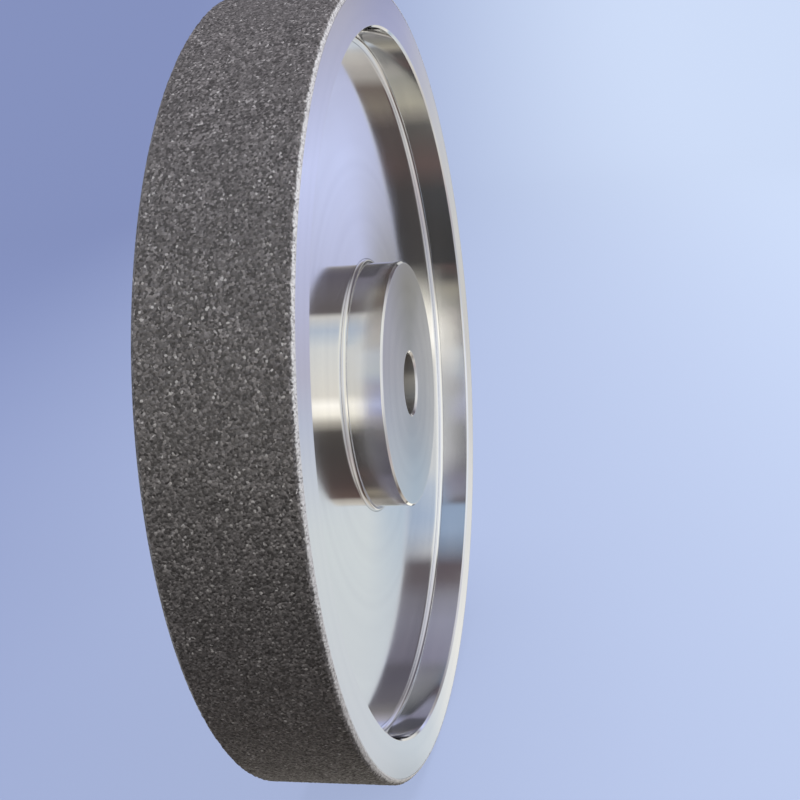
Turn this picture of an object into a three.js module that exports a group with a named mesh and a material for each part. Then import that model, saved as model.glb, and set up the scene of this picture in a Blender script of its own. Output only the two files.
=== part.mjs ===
// A diamond grinding wheel for lapidary work: a turned aluminium hub, web and rim,
// fitted together on one centre, with a plated layer of diamond grit round the tread.
// Millimetres. The wheel turns about Y, its front face looks along -Y, and +Z is up.
// The origin is the wheel's centre, and only the web differs between the front and the rear.

import * as THREE from 'three';

// Whole wheel
const wheelDiameter = 200; // over the diamond surface
const wheelWidth = 32; // between the rim's two faces

// Tread and rim
const platingThickness = 0.6; // layer of nickel and diamond
const cornerChamfer = 1; // at both corners of the diamond surface
const rimWall = 10.8; // from the diamond surface to the rim's bore

// Hub
const hubDiameter = 63.6;
const boreDiameter = 16;
const boreChamfer = 0.6;

// Web. Its front face is one shallow hollow from the hub to the rim. Its rear face has a flat
// shoulder round the hub, then a narrow bevel down to a panel that curves up to the rim.
const webSetback = 9.8; // from the hub's faces in to the web beside it
const webRise = 0.3; // how much nearer to the faces the web lies at the rim
const frontHollow = 0.3; // half way across the front face
const shoulderDiameter = 123.6;
const bevelWidth = 2.5;
const bevelDrop = 1.1;
const filletRadius = 1.2; // where the web meets the hub and the rim

// Fits and finish
const jointGap = 0.3; // between pieces that are fitted together
const edgeBreak = 0.5; // small chamfer on the turned edges
const roundSegments = 96; // facets in a full turn
const filletSteps = 6; // facets in a fillet
const webSteps = 7; // facets across a curved face of the web

// Sizes that follow from those. Heights are measured from the mid-plane.
const wheelRadius = wheelDiameter / 2;
const halfWidth = wheelWidth / 2;
const rimBoreRadius = wheelRadius - rimWall;
const hubRadius = hubDiameter / 2;
const boreRadius = boreDiameter / 2;
const hubFootHeight = halfWidth - webSetback;
const rimFootHeight = hubFootHeight + webRise;
const panelFloor = hubFootHeight - bevelDrop;

// An outline's half and its mirror image across the mid-plane, joined where the half ends
function bothSides(half) {
  const mirrored = half.map(([radius, height]) => [radius, -height]);
  return [...half, ...mirrored.reverse()];
}

// The tread's outline at a depth under the diamond surface, from the front face to the rear one.
// The corner chamfers keep the same depth under the surface as the cylinder between them.
function treadOutline(depth) {
  const faceRadius = wheelRadius - cornerChamfer - depth * Math.SQRT2;
  const cornerHeight = halfWidth - cornerChamfer - depth * (Math.SQRT2 - 1);
  return bothSides([
    [faceRadius, -halfWidth],
    [wheelRadius - depth, -cornerHeight],
  ]);
}

// A wall's end at the front face, with a chamfer.
// A positive chamfer widens the wall, as at a bore's mouth, and a negative one narrows it.
function wallEnd(radius, chamfer) {
  return [
    [radius + chamfer, -halfWidth],
    [radius, -halfWidth + Math.abs(chamfer)],
  ];
}

// A quarter circle from the wall down to the joint with the web.
// A positive reach runs outwards from the wall, and a negative one inwards.
function fillet(wallRadius, footHeight, reach) {
  const centreHeight = footHeight + Math.abs(reach);
  const points = [];
  for (let step = 0; step <= filletSteps; step++) {
    const angle = (step / filletSteps) * (Math.PI / 2);
    points.push([
      wallRadius + reach * (1 - Math.cos(angle)),
      -centreHeight + Math.abs(reach) * Math.sin(angle),
    ]);
  }
  return points;
}

// Points across a face of the web from the outside in.
// The height is a function of the part of the way from the inner radius to the outer one.
function acrossWeb(outerRadius, innerRadius, heightAt) {
  const points = [];
  for (let step = webSteps; step >= 0; step--) {
    const part = step / webSteps;
    points.push([innerRadius + (outerRadius - innerRadius) * part, heightAt(part)]);
  }
  return points;
}

// The rear panel: a parabola, level at the bevel's foot
function panelHeight(part) {
  return panelFloor + (rimFootHeight - panelFloor) * part * part;
}

// The front face: a straight line from the hub to the rim, hollowed by a parabola
function hollowHeight(part) {
  return hubFootHeight + webRise * part - 4 * frontHollow * part * (1 - part);
}

// A ring turned about Y from an outline that runs anticlockwise with the radius to the right.
// It starts half a facet round, so that the wheel stands on a flat facet.
function turned(outline) {
  const points = [...outline, outline[0]].map(([radius, y]) => new THREE.Vector2(radius, y));
  const halfFacet = Math.PI / roundSegments;
  return new THREE.LatheGeometry(points, roundSegments, halfFacet, 2 * Math.PI);
}

function diamondBand() {
  const surface = treadOutline(0);
  const underside = treadOutline(platingThickness).reverse();
  return turned([...surface, ...underside]);
}

function rimRing() {
  const tread = treadOutline(platingThickness + jointGap);
  const inside = bothSides([
    ...wallEnd(rimBoreRadius, edgeBreak),
    ...fillet(rimBoreRadius, rimFootHeight, -filletRadius),
  ]);
  return turned([...tread, ...inside.reverse()]);
}

function webDisc() {
  const shoulderRadius = shoulderDiameter / 2;
  const outerRadius = rimBoreRadius - filletRadius - jointGap;
  const innerRadius = hubRadius + filletRadius + jointGap;
  const rearFace = [
    ...acrossWeb(outerRadius, shoulderRadius + bevelWidth, panelHeight),
    [shoulderRadius, hubFootHeight],
    [innerRadius, hubFootHeight],
  ];
  const frontFace = acrossWeb(outerRadius, innerRadius, hollowHeight)
    .map(([radius, height]) => [radius, -height]);
  return turned([...rearFace, ...frontFace.reverse()]);
}

function hubBoss() {
  const outside = bothSides([
    ...wallEnd(hubRadius, -edgeBreak),
    ...fillet(hubRadius, hubFootHeight, filletRadius),
  ]);
  const bore = bothSides(wallEnd(boreRadius, boreChamfer));
  return turned([...outside, ...bore.reverse()]);
}

function turnedAluminium(color, roughness) {
  return new THREE.MeshStandardMaterial({ color, roughness, metalness: 1 });
}

function platedDiamond() {
  return new THREE.MeshStandardMaterial({ color: 0x5e5c5a, roughness: 0.75, metalness: 0.4 });
}

function piece(name, geometry, material) {
  const mesh = new THREE.Mesh(geometry, material);
  mesh.name = name;
  return mesh;
}

const wheel = new THREE.Group();
wheel.add(
  piece('diamond_band', diamondBand(), platedDiamond()),
  piece('rim_ring', rimRing(), turnedAluminium(0xc9cbd6, 0.22)),
  piece('web_disc', webDisc(), turnedAluminium(0xc4c8d2, 0.18)),
  piece('hub', hubBoss(), turnedAluminium(0xbfc1c6, 0.22)),
);

export default wheel;
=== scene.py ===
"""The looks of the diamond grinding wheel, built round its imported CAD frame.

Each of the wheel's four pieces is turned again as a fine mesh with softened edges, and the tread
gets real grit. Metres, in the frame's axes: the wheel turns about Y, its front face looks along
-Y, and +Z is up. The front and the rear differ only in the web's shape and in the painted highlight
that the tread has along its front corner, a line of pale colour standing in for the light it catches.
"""

import math

import bpy
import numpy as np
from mathutils import Matrix, Vector


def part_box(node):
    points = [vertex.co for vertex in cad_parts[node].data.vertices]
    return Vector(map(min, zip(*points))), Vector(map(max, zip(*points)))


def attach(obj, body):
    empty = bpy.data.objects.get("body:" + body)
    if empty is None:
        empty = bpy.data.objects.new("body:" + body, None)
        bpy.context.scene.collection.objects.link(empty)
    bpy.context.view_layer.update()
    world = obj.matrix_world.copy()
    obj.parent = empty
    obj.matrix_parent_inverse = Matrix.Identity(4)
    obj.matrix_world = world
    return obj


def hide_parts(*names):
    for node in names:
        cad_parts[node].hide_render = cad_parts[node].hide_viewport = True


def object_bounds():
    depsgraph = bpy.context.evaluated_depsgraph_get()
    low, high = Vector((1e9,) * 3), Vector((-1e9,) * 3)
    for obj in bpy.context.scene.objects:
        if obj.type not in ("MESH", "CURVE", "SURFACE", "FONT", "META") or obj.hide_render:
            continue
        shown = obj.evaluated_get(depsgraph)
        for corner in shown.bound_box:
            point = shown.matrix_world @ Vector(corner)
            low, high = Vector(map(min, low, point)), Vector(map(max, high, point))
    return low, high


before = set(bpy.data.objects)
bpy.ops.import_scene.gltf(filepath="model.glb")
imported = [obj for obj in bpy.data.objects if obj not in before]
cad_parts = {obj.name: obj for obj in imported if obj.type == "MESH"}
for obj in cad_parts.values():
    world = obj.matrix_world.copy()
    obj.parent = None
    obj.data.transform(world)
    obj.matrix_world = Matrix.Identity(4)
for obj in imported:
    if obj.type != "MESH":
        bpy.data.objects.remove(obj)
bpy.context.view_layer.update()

MM = 0.001

# Sizes that the frame gives. The CAD rounds are polygons, so a corner radius is its box over a cosine.
CAD_FACETS = 96
FLAT_TO_CORNER = 1 / math.cos(math.pi / CAD_FACETS)
WHEEL_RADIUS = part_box("diamond_band")[1].x  # on the flats, so that the round wheel stays inside
HALF_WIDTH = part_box("diamond_band")[1].y
WEB_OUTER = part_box("web_disc")[1].x * FLAT_TO_CORNER
HUB_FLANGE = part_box("hub")[1].x * FLAT_TO_CORNER
RIM_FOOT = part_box("web_disc")[1].y  # height of the web's surface at the rim

# Sizes that the frame's boxes don't show, as in the CAD source
CORNER_CHAMFER = 1 * MM
FILLET = 1.2 * MM
JOINT_GAP = 0.3 * MM
EDGE_BREAK = 0.5 * MM
BORE_RADIUS = 8 * MM
BORE_CHAMFER = 0.6 * MM
SHOULDER_RADIUS = 61.8 * MM
BEVEL_WIDTH = 2.5 * MM
BEVEL_DROP = 1.1 * MM
WEB_RISE = 0.3 * MM
FRONT_HOLLOW = 0.3 * MM

RIM_BORE = WEB_OUTER + JOINT_GAP + FILLET
HUB_RADIUS = HUB_FLANGE - FILLET
HUB_FOOT = RIM_FOOT - WEB_RISE  # height of the web's surface at the hub
PANEL_FLOOR = HUB_FOOT - BEVEL_DROP

# Looks only: the metal pieces
SEAM = 0.04 * MM  # what is left between the pieces, where the CAD keeps a wider gap
SOFT_EDGE = 0.14 * MM  # rounding of the turned edges
EDGE_STEPS = 4  # flats in the arc of a softened edge
FILLET_STEPS = 14  # flats in the arc of a fillet
ARC_MARGIN = 0.1  # how far past an arc its flat gets one more point, as a share of its radius
ROUND_STEPS = 720  # facets in a full turn
WEB_STEPS = 36  # rings of facets across a face of the web
HARD_CORNER = math.radians(28)  # a sharper turn than this isn't shaded smooth

# Looks only: the grit
PLATING = 0.35 * MM  # thickness that shows at the rim's faces
GRAIN = 0.5 * MM  # spacing of the grains
GRAIN_HEIGHT = 0.16 * MM
GRAIN_RARITY = 1.3  # power that makes the tall grains rarer than the low ones
GRAIN_SHIFT = 0.5 * GRAIN  # whole range of a grain's shift from its place in the net
GRAIN_SEED = 7


# ---------------------------------------------------------------- outlines

def both_sides(half):
    """A half outline and its mirror image across the mid-plane, joined where the half ends."""
    return [*half, *[(radius, -height, rounding) for radius, height, rounding in reversed(half)]]


def rounded(corners):
    """A closed outline of (radius, height, rounding) corners as plain points, with each corner an arc.

    A point just before and after each arc keeps the smooth shading of the flats beside it even.
    """
    points = []
    for index, (radius, height, rounding) in enumerate(corners):
        corner = Vector((radius, height))
        if rounding == 0:
            points.append(corner)
            continue
        back = (Vector(corners[index - 1][:2]) - corner).normalized()
        ahead = (Vector(corners[(index + 1) % len(corners)][:2]) - corner).normalized()
        half_angle = back.angle(ahead) / 2
        reach = rounding / math.tan(half_angle)
        centre = corner + (back + ahead).normalized() * rounding / math.sin(half_angle)
        start = corner + back * reach - centre
        end = corner + ahead * reach - centre
        steps = EDGE_STEPS if rounding < FILLET else FILLET_STEPS
        margin = ARC_MARGIN * rounding
        points.append(corner + back * (reach + margin))
        for step in range(steps + 1):
            part = step / steps
            points.append(centre + start.lerp(end, part).normalized() * rounding)
        points.append(corner + ahead * (reach + margin))
    return points


def tread_half(depth):
    """The front half of the tread's outline, at a depth under its surface."""
    return [
        (WHEEL_RADIUS - CORNER_CHAMFER - depth * math.sqrt(2), -HALF_WIDTH, 0),
        (WHEEL_RADIUS - depth, -HALF_WIDTH + CORNER_CHAMFER + depth * (math.sqrt(2) - 1), 0),
    ]


def wall_half(wall_radius, chamfer, foot_height, reach):
    """A wall from its chamfered end at the front face down through the fillet to the web's joint.

    The chamfer and the reach of the fillet are positive where they run away from the axis.
    """
    return [
        (wall_radius + chamfer, -HALF_WIDTH, SOFT_EDGE),
        (wall_radius, -HALF_WIDTH + abs(chamfer), SOFT_EDGE),
        (wall_radius, -foot_height, FILLET),
        (wall_radius + reach, -foot_height, 0),
    ]


def across_web(outer, inner, height_at):
    """Corners across a face of the web, from the outside in.

    The height is a function of the part of the way from the inner radius to the outer one.
    """
    corners = []
    for step in range(WEB_STEPS, -1, -1):
        part = step / WEB_STEPS
        corners.append((inner + (outer - inner) * part, height_at(part), 0))
    return corners


def panel_height(part):
    """Height of the rear panel, from the bevel's foot out to the rim."""
    return PANEL_FLOOR + (RIM_FOOT - PANEL_FLOOR) * part * part


def hollow_height(part):
    """Height of the front of the web, a shallow hollow from the hub out to the rim."""
    return HUB_FOOT + WEB_RISE * part - 4 * FRONT_HOLLOW * part * (1 - part)


def divided(start, end, spacing):
    """Points from start up to, but not including, end, about a spacing apart."""
    start, end = Vector(start[:2]), Vector(end[:2])
    count = max(1, round((end - start).length / spacing))
    return [start.lerp(end, step / count) for step in range(count)]


# ---------------------------------------------------------------- meshes

def turned(name, outline, steps):
    """A closed mesh turned about Y from a closed outline, which runs anticlockwise seen from +Z."""
    radius, height = np.array([tuple(point) for point in outline]).T
    angle = np.arange(steps) * 2 * math.pi / steps
    along_y = np.broadcast_to(height, (steps, len(height)))
    verts = np.stack([np.outer(np.cos(angle), radius), along_y, np.outer(np.sin(angle), radius)], axis=2)
    here = np.arange(steps * len(height)).reshape(steps, len(height))
    above = np.roll(here, -1, axis=1)
    faces = np.stack([here, above, np.roll(above, -1, axis=0), np.roll(here, -1, axis=0)], axis=2)
    mesh = bpy.data.meshes.new(name)
    mesh.from_pydata(verts.reshape(-1, 3).tolist(), [], faces.reshape(-1, 4).tolist())
    mesh.update()
    piece = bpy.data.objects.new(name, mesh)
    bpy.context.scene.collection.objects.link(piece)
    return piece


def turned_smooth(name, corners):
    """A metal piece from its corners, shaded smooth and split at the real corners."""
    piece = turned(name, rounded(corners), ROUND_STEPS)
    piece.data.shade_smooth()
    piece.data.set_sharp_from_angle(angle=HARD_CORNER)
    return piece


def rim_ring():
    """The outer ring: the seat of the plating outside, and its two walls and the web's joint inside."""
    seat = both_sides(tread_half(PLATING + SEAM))
    inside = both_sides(wall_half(RIM_BORE, EDGE_BREAK, RIM_FOOT, -FILLET))
    return turned_smooth("rim_turned", [*seat, *reversed(inside)])


def web_disc():
    """The disc between the fillets: a flat shoulder, bevel and panel behind, and one hollow in front."""
    outer = RIM_BORE - FILLET - SEAM
    inner = HUB_RADIUS + FILLET + SEAM
    foot = SHOULDER_RADIUS + BEVEL_WIDTH
    panel = across_web(outer, foot, panel_height)
    rear = [
        *panel[:-1],
        (foot, PANEL_FLOOR, 3 * SOFT_EDGE),
        (SHOULDER_RADIUS, HUB_FOOT, 2 * SOFT_EDGE),
        (inner, HUB_FOOT, 0),
    ]
    hollow = across_web(outer, inner, hollow_height)
    front = [(radius, -height, 0) for radius, height, _rounding in reversed(hollow)]
    return turned_smooth("web_turned", [*rear, *front])


def hub_boss():
    """The hub, with its chamfered bore."""
    outside = both_sides(wall_half(HUB_RADIUS, -EDGE_BREAK, HUB_FOOT, FILLET))
    bore = both_sides([
        (BORE_RADIUS + BORE_CHAMFER, -HALF_WIDTH, SOFT_EDGE),
        (BORE_RADIUS, -HALF_WIDTH + BORE_CHAMFER, SOFT_EDGE),
    ])
    return turned_smooth("hub_turned", [*outside, *reversed(bore)])


def diamond_band():
    """The plated layer: a shell whose outside is a net of grains, each vertex at its own height."""
    surface = both_sides(tread_half(GRAIN_HEIGHT))
    underside = both_sides(tread_half(PLATING))
    outside = [
        point
        for start, end in zip(surface, surface[1:])
        for point in divided(start, end, GRAIN)
    ]
    outside.append(Vector(surface[-1][:2]))
    inside = [Vector(point[:2]) for point in reversed(underside)]
    around = round(2 * math.pi * WHEEL_RADIUS / GRAIN)
    piece = turned("diamond_grit", [*outside, *inside], around)
    scatter_grains(piece, around, len(outside), len(inside))
    return piece


def scatter_grains(piece, around, grain_rows, plain_rows):
    """Lifts each grain vertex by a random height along its normal and shifts it a little sideways."""
    random = np.random.default_rng(GRAIN_SEED)
    count = around * (grain_rows + plain_rows)
    verts = np.empty(count * 3)
    piece.data.vertices.foreach_get("co", verts)
    verts = verts.reshape(around, grain_rows + plain_rows, 3)
    normals = np.empty(count * 3)
    piece.data.vertices.foreach_get("normal", normals)
    normals = normals.reshape(verts.shape)[:, 1:grain_rows - 1]
    grains = verts[:, 1:grain_rows - 1]
    tall = random.random(grains.shape[:2]) ** GRAIN_RARITY
    shift = (random.random(grains.shape) - 0.5) * GRAIN_SHIFT
    shift -= normals * (shift * normals).sum(axis=2, keepdims=True)
    grains += shift + normals * (tall * GRAIN_HEIGHT)[..., None]
    ring = np.hypot(grains[..., 0], grains[..., 2])
    grains[..., 0] *= np.minimum(1, WHEEL_RADIUS / ring)
    grains[..., 2] *= np.minimum(1, WHEEL_RADIUS / ring)
    grains[..., 1] = grains[..., 1].clip(-HALF_WIDTH, HALF_WIDTH)
    piece.data.vertices.foreach_set("co", verts.reshape(-1))
    piece.data.update()


# ---------------------------------------------------------------- node trees

# The Mix node's sockets for blending colours, by place, because several share each name
MIX_FACTOR, MIX_FIRST, MIX_SECOND, MIX_RESULT = 0, 6, 7, 2


def linear(red, green, blue):
    """A display colour, 0 to 255, as the linear colour that a shader takes."""
    def channel(value):
        value /= 255
        return value / 12.92 if value <= 0.04045 else ((value + 0.055) / 1.055) ** 2.4
    return (channel(red), channel(green), channel(blue), 1)


class Shader:
    """A node tree with short calls for adding nodes and joining them."""

    def __init__(self, tree):
        self.tree = tree
        tree.nodes.clear()

    def node(self, kind, settings=None, **inputs):
        """A node. Inputs are given by socket name, with _ for a space, as values or as sockets."""
        made = self.tree.nodes.new(kind)
        for name, value in (settings or {}).items():
            setattr(made, name, value)
        for name, value in inputs.items():
            self.join(made.inputs[name.replace("_", " ")], value)
        return made

    def join(self, socket, value):
        """Links a socket to an input, or sets the input to a value."""
        if isinstance(value, bpy.types.NodeSocket):
            self.tree.links.new(value, socket)
        else:
            socket.default_value = value

    def math(self, operation, first, second=0.0):
        """One sum. The second value is left out where the operation takes one."""
        made = self.tree.nodes.new("ShaderNodeMath")
        made.operation = operation
        self.join(made.inputs[0], first)
        self.join(made.inputs[1], second)
        return made.outputs[0]

    def along(self, vector, axis):
        """How far a vector runs along a fixed axis."""
        made = self.tree.nodes.new("ShaderNodeVectorMath")
        made.operation = "DOT_PRODUCT"
        self.join(made.inputs[0], vector)
        made.inputs[1].default_value = axis
        return made.outputs["Value"]

    def spread(self, value, low, high, to_low=0.0, to_high=1.0, smooth=False):
        """A value mapped from low..high to to_low..to_high, clamped."""
        made = self.node(
            "ShaderNodeMapRange",
            {"interpolation_type": "SMOOTHSTEP" if smooth else "LINEAR"},
            Value=value, From_Min=low, From_Max=high, To_Min=to_low, To_Max=to_high,
        )
        return made.outputs["Result"]

    def blend(self, factor, first, second):
        """A colour between two colours."""
        made = self.tree.nodes.new("ShaderNodeMix")
        made.data_type = "RGBA"
        self.join(made.inputs[MIX_FACTOR], factor)
        self.join(made.inputs[MIX_FIRST], first)
        self.join(made.inputs[MIX_SECOND], second)
        return made.outputs[MIX_RESULT]

    def ramp(self, value, stops):
        """A colour ramp over 0 to 1 from (position, colour) stops."""
        made = self.node("ShaderNodeValToRGB", Fac=value)
        elements = made.color_ramp.elements
        elements.remove(elements[1])
        elements[0].position, elements[0].color = stops[0]
        for position, color in stops[1:]:
            elements.new(position).color = color
        return made.outputs["Color"]

    def noise(self, vector, size, detail):
        """Cloudy values from 0 to 1, in blots of about a size in metres."""
        made = self.node("ShaderNodeTexNoise", Vector=vector, Scale=1 / size, Detail=detail)
        return made.outputs["Fac"]

    def cells(self, vector, size):
        """Random cells of about a size: distances from their middles, and three chance values."""
        made = self.node("ShaderNodeTexVoronoi", Vector=vector, Scale=1 / size)
        chance = self.node("ShaderNodeSeparateColor", Color=made.outputs["Color"])
        return made.outputs["Distance"], chance.outputs

    def wheel_point(self):
        """The shaded point in the wheel's axes, its y, and its distance from the wheel's axis."""
        point = self.node("ShaderNodeTexCoord").outputs["Object"]
        x, y, z = self.node("ShaderNodeSeparateXYZ", Vector=point).outputs
        square = self.math("ADD", self.math("MULTIPLY", x, x), self.math("MULTIPLY", z, z))
        return point, y, self.math("SQRT", square)


def new_material(name):
    material = bpy.data.materials.new(name)
    material.use_nodes = True
    return material, Shader(material.node_tree)


# ---------------------------------------------------------------- materials

# Turned metal
FINE_RING = 0.5 * MM  # width of the tool's finest marks
BROAD_RING = 4 * MM
RING_HEIGHT = 0.0012 * MM
SMUDGE = 22 * MM
BORE_EDGE = 0.2 * MM  # how far past the bore's wall its rougher surface and its painted shade fade out

# Grit
GRIT_CELL = 0.48 * MM
SPECK = 0.3 * MM
PATCH = 9 * MM
GRIT_BUMP = 0.1 * MM
RAGGED = 0.25 * MM  # whole range of the wander of the edge of the front corner's painted highlight


def turned_metal(name, color, shade, roughness, bore_roughness=0.0):
    """Bright turned aluminium: rings left by the tool on every face, and faint handling marks.

    The colour and the shade, a second tone of the metal, take turns in broad rings. A bore roughness
    above 0 roughens the bore's wall and darkens it with painted shade.
    """
    material, shader = new_material(name)
    point, y, radius = shader.wheel_point()
    profile = shader.node("ShaderNodeCombineXYZ", X=radius, Y=y).outputs[0]
    fine = shader.noise(profile, FINE_RING, 2.0)
    broad = shader.noise(profile, BROAD_RING, 1.0)
    height = shader.math("ADD", shader.math("MULTIPLY", broad, 2.0), fine)
    bump = shader.node("ShaderNodeBump", Strength=0.5, Distance=RING_HEIGHT, Height=height)
    smudge = shader.noise(point, SMUDGE, 4.0)
    rough = shader.spread(smudge, 0.35, 0.7, roughness * 0.85, roughness * 1.25)
    tone = shader.blend(shader.spread(broad, 0.3, 0.7), shade, color)
    if bore_roughness:
        bore_rough_and_shaded = shader.spread(radius, BORE_RADIUS, BORE_RADIUS + BORE_EDGE, 1.0, 0.0)
        rough = shader.math("MAXIMUM", rough, shader.math("MULTIPLY", bore_rough_and_shaded, bore_roughness))
        # Painted shade: the bore's wall is darkened towards (190, 188, 186).
        tone = shader.blend(bore_rough_and_shaded, tone, linear(190, 188, 186))
    tangent = shader.node("ShaderNodeTangent", {"direction_type": "RADIAL", "axis": "Y"})
    surface = shader.node(
        "ShaderNodeBsdfPrincipled",
        Base_Color=tone, Metallic=1.0, Roughness=rough, Anisotropic=0.8,
        Anisotropic_Rotation=0.25, Tangent=tangent.outputs[0], Normal=bump.outputs[0],
    )
    shader.node("ShaderNodeOutputMaterial", Surface=surface.outputs[0])
    return material


def rim_metal():
    return turned_metal("rim_metal", linear(246, 246, 249), linear(240, 241, 245), roughness=0.075)


def web_metal():
    return turned_metal("web_metal", linear(246, 247, 249), linear(241, 242, 245), roughness=0.085)


def hub_metal():
    """A little warmer and darker than the rest."""
    return turned_metal(
        "hub_metal", linear(236, 235, 234), linear(230, 229, 229),
        roughness=0.075, bore_roughness=0.45,
    )


def front_corner(shader, y, chance):
    """1 on the tread's front corner and 0 past it, with an edge that a chance value makes ragged."""
    ragged = shader.math("MULTIPLY", shader.math("SUBTRACT", chance, 0.5), RAGGED)
    from_face = shader.math("ADD", shader.math("ADD", y, HALF_WIDTH), ragged)
    return shader.spread(from_face, 0.4 * CORNER_CHAMFER, 0.65 * CORNER_CHAMFER, 1.0, 0.0)


def plated_grit():
    """Charcoal diamond grains in nickel, with a painted highlight on the front corner: a line of pale
    colour standing in for the light the corner catches.
    """
    material, shader = new_material("plated_diamond")
    point, y, _radius = shader.wheel_point()
    distance, grain = shader.cells(point, GRIT_CELL)
    _distance, speck = shader.cells(point, SPECK)
    tone = shader.ramp(grain["Red"], [
        (0.0, linear(54, 52, 54)),
        (0.35, linear(80, 78, 80)),
        (0.8, linear(106, 103, 106)),
        (0.97, linear(132, 129, 132)),
        (1.0, linear(176, 174, 177)),
    ])
    patchy = shader.math("MULTIPLY", shader.spread(shader.noise(point, PATCH, 3.0), 0.3, 0.7), 0.35)
    patched = shader.blend(patchy, tone, linear(73, 71, 73))
    corner = front_corner(shader, y, grain["Green"])
    # Painted highlight: the front corner is blended in specks towards a pale grey (196, 196, 201),
    # standing in for the light the corner catches.
    painted_highlight = shader.math("MULTIPLY", corner, shader.spread(speck["Blue"], 0.0, 0.5, 0.3, 1.0))
    bump = shader.node(
        "ShaderNodeBump", {"invert": True},
        Strength=shader.spread(corner, 0.0, 1.0, 0.8, 0.2), Distance=GRIT_BUMP, Height=distance,
    )
    surface = shader.node(
        "ShaderNodeBsdfPrincipled",
        Base_Color=shader.blend(painted_highlight, patched, linear(196, 196, 201)), Metallic=0.55,
        Roughness=shader.spread(speck["Red"], 0.0, 1.0, 0.32, 0.62), Normal=bump.outputs[0],
    )
    shader.node("ShaderNodeOutputMaterial", Surface=surface.outputs[0])
    return material


# ---------------------------------------------------------------- the wheel

def add_piece(piece, node, material):
    """Gives a piece its material, hides the CAD node that it stands for, and hangs it on the wheel's
    root body.
    """
    piece.data.materials.append(material)
    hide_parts(node)
    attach(piece, "root")


add_piece(diamond_band(), "diamond_band", plated_grit())
add_piece(rim_ring(), "rim_ring", rim_metal())
add_piece(web_disc(), "web_disc", web_metal())
add_piece(hub_boss(), "hub", hub_metal())


# ---------------------------------------------------------------- camera

# The photograph's view of the wheel: in wheel radii, how far the front face's centre lies right of,
# above and ahead of the camera, and how much of the wheel's own axis runs ahead and up in the view.
CENTRE_RIGHT, CENTRE_UP, CENTRE_AHEAD = 0.0286, 0.0431, 3.1211
AXIS_AHEAD = 0.21925
AXIS_UP = -0.03719
LOOK_DOWN = math.radians(15)
FOCAL_LENGTH, SENSOR_WIDTH = 53.84, 36  # mm
NEAREST = 10 * MM  # nothing nearer to the camera shows


def camera_axes():
    """The camera's right, up and forward directions in the frame."""
    down = -math.sin(LOOK_DOWN)
    ahead = Vector((math.sqrt(1 - AXIS_AHEAD ** 2 - down ** 2), AXIS_AHEAD, down))
    across = ahead.cross(Vector((0, 1, 0))).normalized()
    along = across.cross(ahead)
    share = AXIS_UP / along.y
    up = along * share + across * math.sqrt(1 - share ** 2)
    if up.z < 0:
        up = along * share - across * math.sqrt(1 - share ** 2)
    return ahead.cross(up), up, ahead


RIGHT, UP, AHEAD = camera_axes()


def add_camera():
    radius = WHEEL_RADIUS * FLAT_TO_CORNER
    centre = Vector((0, -HALF_WIDTH, 0))
    position = centre - radius * (CENTRE_RIGHT * RIGHT + CENTRE_UP * UP + CENTRE_AHEAD * AHEAD)
    data = bpy.data.cameras.new("camera")
    data.lens = FOCAL_LENGTH
    data.sensor_width = SENSOR_WIDTH
    data.clip_start = NEAREST
    camera = bpy.data.objects.new("camera", data)
    turn = Matrix((RIGHT, UP, -AHEAD)).transposed().to_4x4()
    camera.matrix_world = Matrix.Translation(position) @ turn
    bpy.context.scene.collection.objects.link(camera)
    bpy.context.scene.camera = camera


# ---------------------------------------------------------------- the mirrored room

# What the bright metal mirrors: the colours of a room round the wheel, as rings about the wheel's
# own axis. A ring's colours go by the angle in degrees from straight behind the photograph's camera,
# with up positive. A ring's lean is how much its directions run along the wheel's axis.
BELOW = [
    (-109, (118, 113, 104)), (-104, (78, 76, 72)), (-86, (86, 72, 68)), (-75, (56, 55, 54)),
    (-46, (52, 51, 50)),
]
WINDOW = [(-31, (226, 222, 206)), (-12, (226, 222, 206)), (-6, (172, 174, 172)), (31, (166, 168, 168))]
ABOVE = [
    (38, (130, 147, 168)), (56, (130, 147, 168)), (63, (108, 119, 135)), (70, (84, 75, 79)),
    (76, (88, 80, 84)), (84, (122, 121, 130)), (94, (133, 133, 146)), (112, (122, 120, 134)),
]
LOW_RING = [
    (-180, (194, 192, 187)), (-163, (236, 232, 221)), (-150, (250, 246, 233)), (-141, (232, 226, 213)),
    (-131, (170, 168, 158)), (-117, (156, 152, 137)), *BELOW, *WINDOW, *ABOVE,
    (134, (184, 184, 184)), (167, (184, 185, 182)), (180, (194, 192, 187)),
]
MIDDLE_RING = [
    (-180, (138, 144, 153)), (-176, (151, 166, 181)), (-170, (162, 171, 180)), (-163, (176, 184, 190)),
    (-158, (96, 96, 94)), (-144, (74, 74, 74)), (-133, (112, 111, 102)), (-116, (156, 151, 133)),
    *BELOW, *WINDOW, *ABOVE,
    (118, (66, 66, 72)), (150, (54, 56, 60)), (160, (146, 149, 178)), (168, (148, 148, 158)),
    (173, (122, 121, 116)), (180, (138, 144, 153)),
]
HIGH_RING = [
    (-180, (165, 170, 184)), (-174, (185, 190, 190)), (-163, (180, 184, 188)), (-154, (186, 182, 174)),
    (-146, (182, 176, 167)), (-135, (160, 154, 146)), (-127, (84, 68, 65)), (-94, (70, 62, 60)),
    (-58, (66, 62, 60)), (-41, (74, 70, 67)), (-32, (168, 163, 153)), (-25, (240, 235, 222)),
    (-17, (255, 251, 241)), (-9, (214, 210, 200)), (34, (206, 208, 206)), (50, (174, 184, 197)),
    (64, (198, 196, 191)), (69, (92, 87, 87)), (124, (88, 84, 92)), (140, (98, 94, 99)),
    (148, (120, 116, 116)), (157, (156, 152, 154)), (161, (158, 160, 182)), (166, (180, 187, 218)),
    (172, (164, 167, 192)), (177, (160, 159, 174)), (180, (165, 170, 184)),
]
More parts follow.
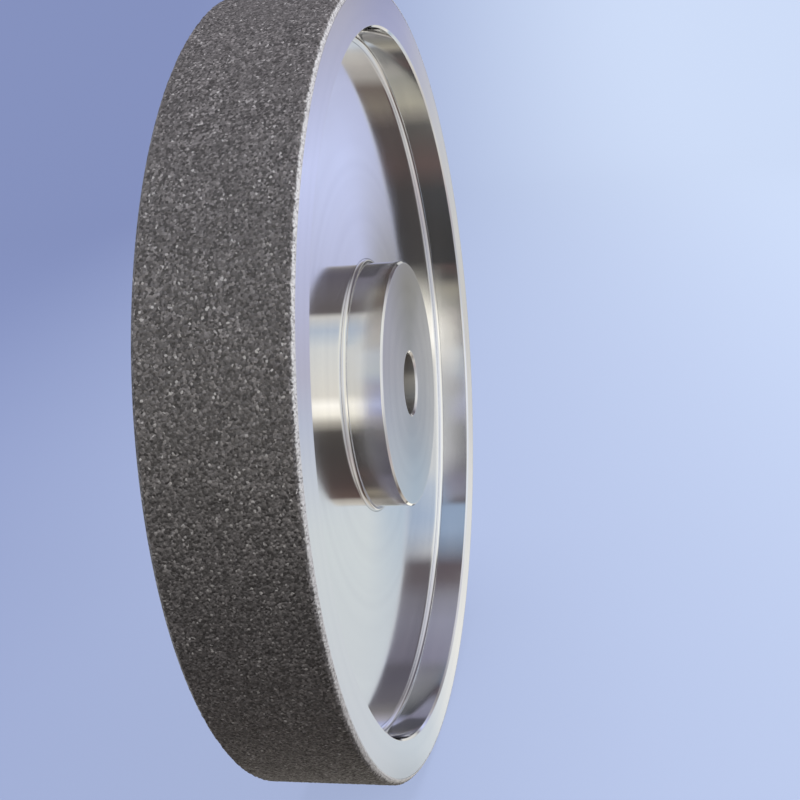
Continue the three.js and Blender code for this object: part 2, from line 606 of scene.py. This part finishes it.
SIDE_RING = [
    (-180, (190, 192, 196)), (-112, (186, 184, 178)), (-86, (168, 158, 159)), (-68, (164, 161, 161)),
    (-45, (174, 173, 171)), (-35, (192, 190, 183)), (-27, (222, 220, 209)), (60, (226, 227, 217)),
    (100, (184, 183, 188)), (180, (190, 192, 196)),
]
AXIS_RING = [
    (-180, (172, 176, 188)), (-90, (146, 147, 154)), (0, (206, 208, 212)), (90, (192, 196, 206)),
    (180, (172, 176, 188)),
]
# A ring holds from its first lean to its last, and neighbours blend in between.
RINGS = [
    (0.17, LOW_RING), (0.195, MIDDLE_RING), (0.21, MIDDLE_RING), (0.25, HIGH_RING),
    (0.45, HIGH_RING), (0.7, SIDE_RING), (0.8, SIDE_RING), (0.98, AXIS_RING),
]
ROOM_STRENGTH = 1.35


def add_world():
    """Sets the room round the wheel as the scene's world."""
    world = bpy.data.worlds.new("room")
    bpy.context.scene.world = world
    world.use_nodes = True
    shader = Shader(world.node_tree)
    direction = shader.node("ShaderNodeTexCoord").outputs["Generated"]
    angle = shader.math("ARCTAN2", shader.along(direction, UP), shader.along(direction, -AHEAD))
    turn = shader.spread(angle, -math.pi, math.pi)
    lean = shader.math("ABSOLUTE", shader.along(direction, Vector((0, 1, 0))))

    def around(colors):
        """A ring's colour at the direction's angle."""
        return shader.ramp(turn, [((degrees + 180) / 360, linear(*color)) for degrees, color in colors])

    color = around(LOW_RING)
    for (inner, inner_ring), (outer, ring) in zip(RINGS, RINGS[1:]):
        if ring is not inner_ring:
            color = shader.blend(shader.spread(lean, inner, outer), color, around(ring))
    background = shader.node("ShaderNodeBackground", Color=color, Strength=ROOM_STRENGTH)
    shader.node("ShaderNodeOutputWorld", Surface=background.outputs[0])


# ---------------------------------------------------------------- backdrop and lamps

FLOOR_CENTRE = 1 * MM  # radius of the one face in the middle of the floor
FLOOR_RADIUS = 1.6
BACKDROP_HEIGHT = 2.4
SWEEP = 1.0  # radius of the curve between the floor and the backdrop
SWEEP_STEPS = 24
BACKDROP_STEPS = 96  # facets in a full turn
# The card's two colours carry painted shade: darker to the camera's left and paler to its right, as if a
# window lit it from the right.
CARD_LEFT_PAINTED_SHADE, CARD_RIGHT_PAINTED_LIGHT = linear(126, 138, 181), linear(196, 210, 236)
LEFT_ENDS, RIGHT_STARTS = -0.45, 0.55  # metres to the camera's right of the wheel's middle
CARD_DULL = 0.12  # how much the card takes from the lamps, next to its own painted glow
BLACK = (0, 0, 0, 1)


def painted_glow_card():
    """The floor's and backdrop's pale blue card, lit from within by a painted glow, with painted shade
    that darkens it towards the camera's left.
    """
    material, shader = new_material("painted_glow_card")
    across = shader.along(shader.node("ShaderNodeTexCoord").outputs["Object"], RIGHT)
    # Painted shade: the colour darkens from the camera's right towards its left.
    part = shader.spread(across, LEFT_ENDS, RIGHT_STARTS, smooth=True)
    color = shader.blend(part, CARD_LEFT_PAINTED_SHADE, CARD_RIGHT_PAINTED_LIGHT)
    # The card's emission is a painted glow, with only a little real lamp light on top.
    surface = shader.node(
        "ShaderNodeBsdfPrincipled",
        Base_Color=shader.blend(CARD_DULL, BLACK, color), Roughness=0.9,
        Specular_IOR_Level=0.0, Emission_Color=color, Emission_Strength=1.0,
    )
    shader.node("ShaderNodeOutputMaterial", Surface=surface.outputs[0])
    return material


def add_backdrop():
    """A pale floor that curves up into a round backdrop. It isn't mirrored and lights nothing."""
    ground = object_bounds()[0].z
    outline = [(FLOOR_CENTRE, ground)]
    for step in range(SWEEP_STEPS + 1):
        angle = step / SWEEP_STEPS * math.pi / 2
        outline.append((
            FLOOR_RADIUS + SWEEP * math.sin(angle),
            ground + SWEEP * (1 - math.cos(angle)),
        ))
    outline.append((FLOOR_RADIUS + SWEEP, ground + BACKDROP_HEIGHT))
    verts = []
    for radius, height in outline:
        for step in range(BACKDROP_STEPS):
            angle = step / BACKDROP_STEPS * 2 * math.pi
            verts.append((radius * math.cos(angle), radius * math.sin(angle), height))
    faces = []
    for ring in range(len(outline) - 1):
        for step in range(BACKDROP_STEPS):
            after = (step + 1) % BACKDROP_STEPS
            here, above = ring * BACKDROP_STEPS, (ring + 1) * BACKDROP_STEPS
            faces.append((here + step, above + step, above + after, here + after))
    faces.append(tuple(reversed(range(BACKDROP_STEPS))))
    mesh = bpy.data.meshes.new("backdrop")
    mesh.from_pydata(verts, [], faces)
    mesh.shade_smooth()
    mesh.materials.append(painted_glow_card())
    backdrop = bpy.data.objects.new("backdrop", mesh)
    backdrop.visible_glossy = False
    backdrop.visible_diffuse = False
    backdrop.visible_shadow = False
    bpy.context.scene.collection.objects.link(backdrop)


def add_light(name, kind, position, color, **settings):
    """A soft light that points at the wheel's middle. It isn't mirrored, so it lights what is dull."""
    data = bpy.data.lights.new(name, kind)
    data.color = color
    for setting, value in settings.items():
        setattr(data, setting, value)
    light = bpy.data.objects.new(name, data)
    light.location = position
    light.rotation_euler = Vector((0, 0, -1)).rotation_difference(-position).to_euler()
    light.visible_glossy = False
    bpy.context.scene.collection.objects.link(light)


def add_lights():
    """A key over the wheel, an even fill from the camera's side, and a window at the camera's right."""
    add_light("key", "AREA", Vector((0.05, -0.1, 1.2)), (1, 0.98, 0.98), size=0.9, energy=23)
    add_light("fill", "SUN", Vector((-1, -0.6, 1.2)), (1, 0.98, 0.96), angle=1.0, energy=0.4)
    add_light("window", "AREA", Vector((-0.5, -1.5, 0.8)), (1, 0.98, 0.95), size=0.8, energy=22)


add_camera()
add_world()
add_backdrop()
add_lights()
bpy.context.scene.view_settings.view_transform = "Standard"
